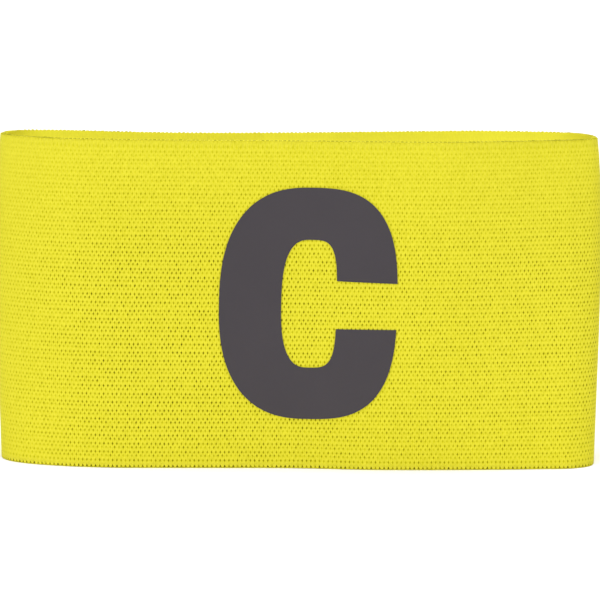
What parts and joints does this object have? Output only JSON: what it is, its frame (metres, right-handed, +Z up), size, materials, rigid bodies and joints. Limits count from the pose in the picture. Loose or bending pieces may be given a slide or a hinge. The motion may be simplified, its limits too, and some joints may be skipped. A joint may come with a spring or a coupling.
{
  "type": "captain armband",
  "caption": "Wide elastic webbing loop that stands on its lower edge, with a dark block letter C pressed on its front; worn round the upper arm by a team's captain.",
  "frame": {"origin": "middle of the armband's box, on the surface that its lower edge stands on", "axes": "+Z up along the webbing's height and the arm's way through, -Y towards the lettered front, +X to the right seen from the front"},
  "size_m": [0.15, 0.0446, 0.08],
  "materials": {
    "elastic_webbing": "matt knitted elastic of fluorescent yellow yarn, with small staggered openings between the stitches",
    "letter_film": "smooth matt dark grey film, heat-pressed on the webbing"
  },
  "bodies": {
    "root": {"elastic_band": "elastic_webbing", "letter_c": "letter_film"}
  },
  "joints": []
}
